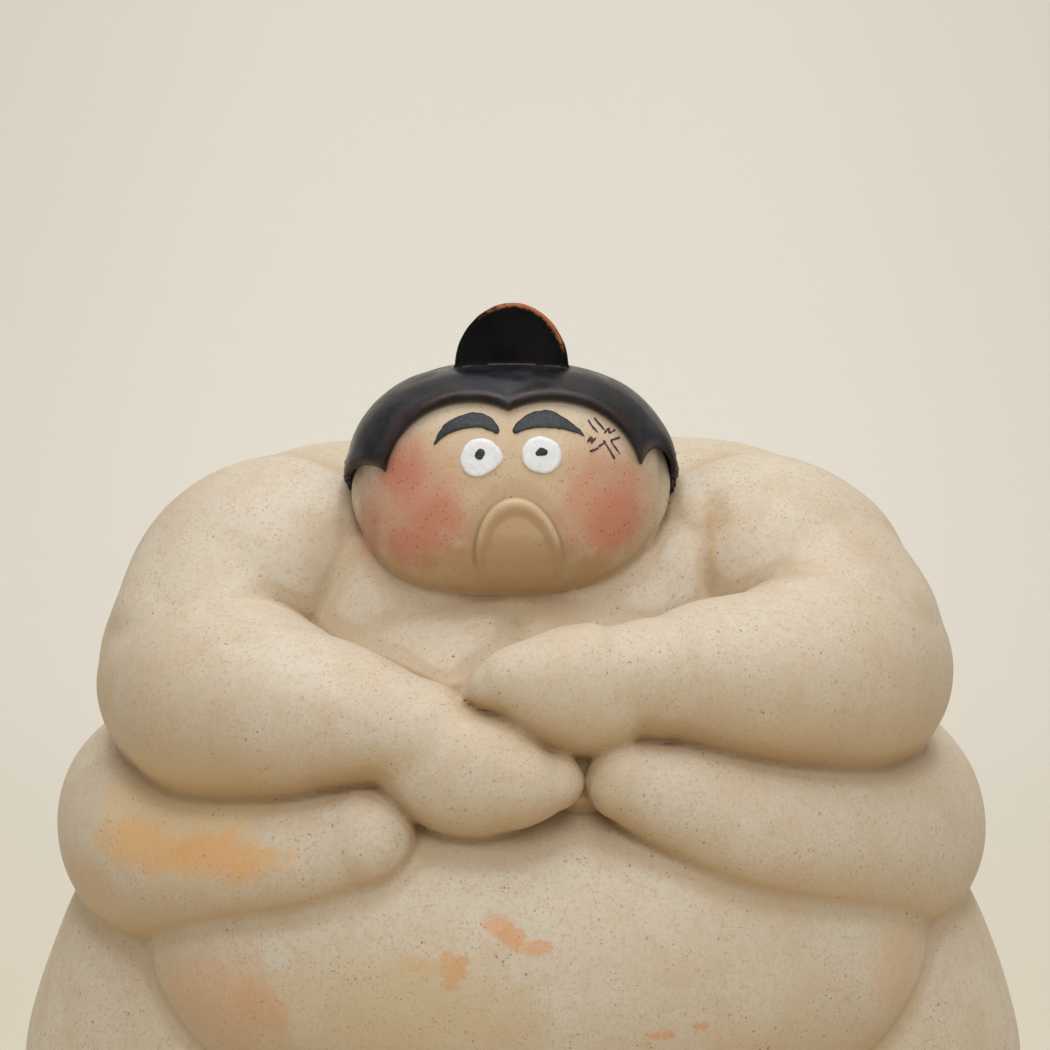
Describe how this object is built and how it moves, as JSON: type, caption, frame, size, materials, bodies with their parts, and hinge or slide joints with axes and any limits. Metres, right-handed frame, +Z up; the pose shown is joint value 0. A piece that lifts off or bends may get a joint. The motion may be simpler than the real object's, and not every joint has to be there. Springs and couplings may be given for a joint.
{
  "type": "sumo wrestler figurine",
  "caption": "Stoneware sumo wrestler figurine standing with folded arms, a huge belly, a tiny frowning head and black glazed hair.",
  "frame": {"origin": "on the table plane, under the middle of the figure's outline seen from above", "axes": "+Z up, the wrestler faces -Y, its left side is at +X"},
  "size_m": [0.1112, 0.082, 0.1206],
  "materials": {
    "clay": "matt speckled sandy stoneware with orange flashing",
    "black_glaze": "glossy black iron glaze, rusty where it is worn thin",
    "white_paint": "thick white dab, satin",
    "black_paint": "matt black oxide"
  },
  "bodies": {
    "root": {"torso": "clay", "right_arm": "clay", "left_arm": "clay", "right_hand": "clay", "left_hand": "clay", "right_side_roll": "clay", "left_side_roll": "clay", "belly": "clay", "right_leg": "clay", "left_leg": "clay", "right_foot": "clay", "left_foot": "clay", "mawashi_belt": "black_glaze", "mawashi_apron": "black_glaze", "mawashi_knot": "black_glaze", "head": "clay", "right_ear": "clay", "left_ear": "clay", "hair_cap": "black_glaze", "topknot": "black_glaze", "mouth": "clay", "right_eye_white": "white_paint", "right_pupil": "black_paint", "left_eye_white": "white_paint", "left_pupil": "black_paint", "right_brow": "black_paint", "left_brow": "black_paint"}
  },
  "joints": []
}
